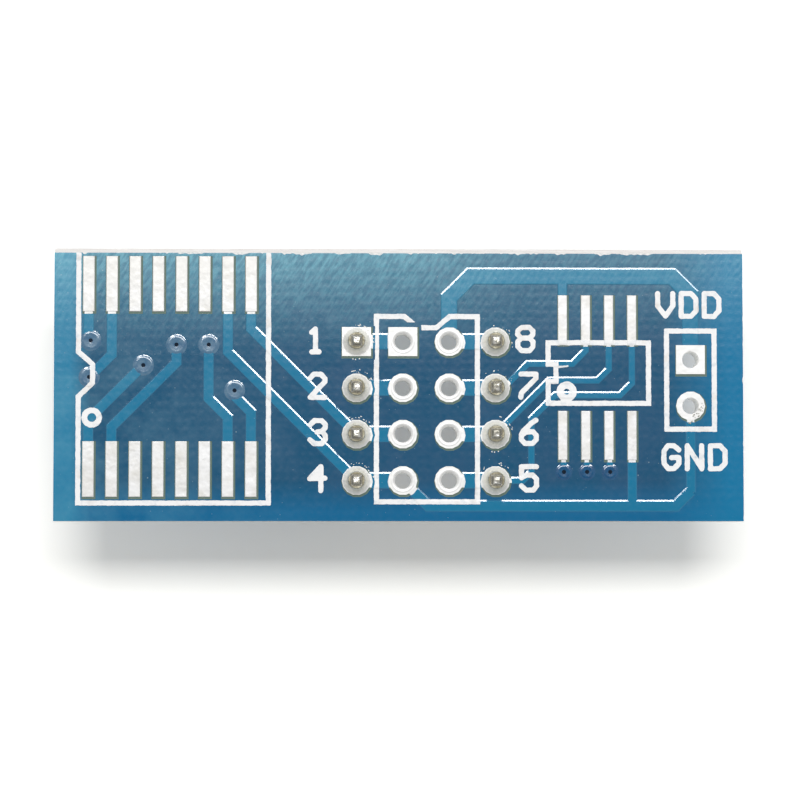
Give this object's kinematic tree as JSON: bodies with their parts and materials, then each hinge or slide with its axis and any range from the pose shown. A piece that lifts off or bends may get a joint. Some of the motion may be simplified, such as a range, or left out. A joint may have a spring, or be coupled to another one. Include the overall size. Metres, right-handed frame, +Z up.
{
  "type": "chip adapter board",
  "caption": "Small blue circuit board on two rows of square pins, with pads for a narrow and a wide surface-mount chip.",
  "frame": {"origin": "under the middle of the board, at the level of the pin tips", "axes": "+X along the board from the wide chip's end to the power holes, +Y to the snapped north edge, +Z up"},
  "size_m": [0.0378, 0.015, 0.0115],
  "materials": {
    "laminate": "rough cut edge",
    "solder_mask": "gloss",
    "ink": "satin",
    "tinned_copper": "levelled tin",
    "solder": "bright solder",
    "pin_plating": "tin plate",
    "strip_plastic": "moulded"
  },
  "bodies": {
    "root": {"ink_lines": "ink", "laminate": "laminate", "mask_top": "solder_mask", "mask_under": "solder_mask", "net_1": "tinned_copper", "net_2": "tinned_copper", "net_3": "tinned_copper", "net_4": "tinned_copper", "net_5": "tinned_copper", "net_6": "tinned_copper", "net_7": "tinned_copper", "net_8": "tinned_copper", "pad_11": "tinned_copper", "pad_12": "tinned_copper", "pad_13": "tinned_copper", "pad_14": "tinned_copper", "pad_3": "tinned_copper", "pad_4": "tinned_copper", "pad_5": "tinned_copper", "pad_6": "tinned_copper", "pin_1": "pin_plating", "pin_2": "pin_plating", "pin_3": "pin_plating", "pin_4": "pin_plating", "pin_5": "pin_plating", "pin_6": "pin_plating", "pin_7": "pin_plating", "pin_8": "pin_plating", "solder_1": "solder", "solder_2": "solder", "solder_3": "solder", "solder_4": "solder", "solder_5": "solder", "solder_6": "solder", "solder_7": "solder", "solder_8": "solder", "strip_left": "strip_plastic", "strip_right": "strip_plastic"}
  },
  "joints": []
}
